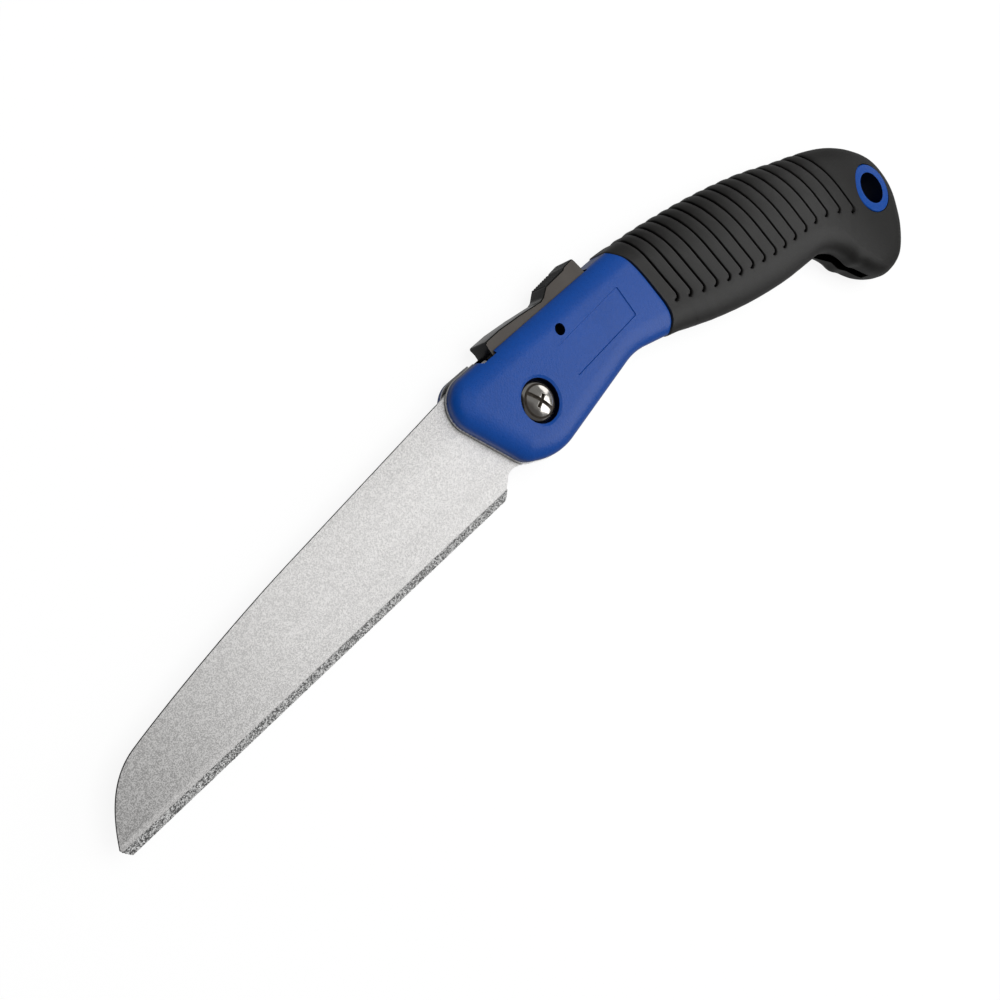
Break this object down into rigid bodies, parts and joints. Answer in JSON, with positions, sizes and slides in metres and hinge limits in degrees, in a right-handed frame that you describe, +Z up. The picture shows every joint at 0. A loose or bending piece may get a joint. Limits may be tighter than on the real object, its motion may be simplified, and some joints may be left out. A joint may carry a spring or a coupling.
{
  "type": "folding saw",
  "caption": "Folding saw with an abrasive-edged blade, a ribbed rubber grip with a hanging hole and a lever lock, stored open.",
  "frame": {"origin": "bottom centre of the bounding box, on the surface the saw lies on", "axes": "+X towards the butt of the handle, +Y towards the spine and the lock lever, +Z up, away from the surface, towards the side with the screw head"},
  "size_m": [0.3904, 0.0848, 0.0204],
  "materials": {
    "blue_plastic": "semi-gloss blue moulding with a fine mould texture",
    "black_rubber": "matte dark grey elastomer with moulded ribs",
    "black_plastic": "dark moulding with glossy front and top",
    "satin_steel": "fine blasted satin steel",
    "abrasive_grit": "coarse carbide grit brazed to the edge",
    "liner_steel": "plain stamped steel",
    "bright_nickel": "bright nickel plate",
    "washer_bronze": "thin bronze sheet"
  },
  "bodies": {
    "handle": {"handle_core": "blue_plastic", "rubber_grip": "black_rubber", "liner_near": "liner_steel", "liner_far": "liner_steel", "washer_near": "washer_bronze", "washer_far": "washer_bronze", "pivot_screw": "bright_nickel", "pivot_sleeve_nut": "bright_nickel", "lever_pin": "liner_steel", "lever_spring": "liner_steel"},
    "blade_body": {"blade": "satin_steel", "abrasive_edge": "abrasive_grit"},
    "lever_body": {"lock_lever": "black_plastic", "lock_pawl": "liner_steel"}
  },
  "joints": [
    {"name": "blade_fold", "type": "hinge", "parent": "handle", "child": "blade_body", "pos_m": [-0.0164, 0.01282, 0.0102], "axis": [0, 0, 1], "range_deg": [0, 170]},
    {"name": "lever_press", "type": "hinge", "parent": "handle", "child": "lever_body", "pos_m": [0.0052, 0.02682, 0.0102], "axis": [0, 0, 1], "range_deg": [-7, 0], "stiffness_Nm_per_rad": 0.6, "springref_deg": 14.32, "deforming": ["lever_spring"]}
  ]
}
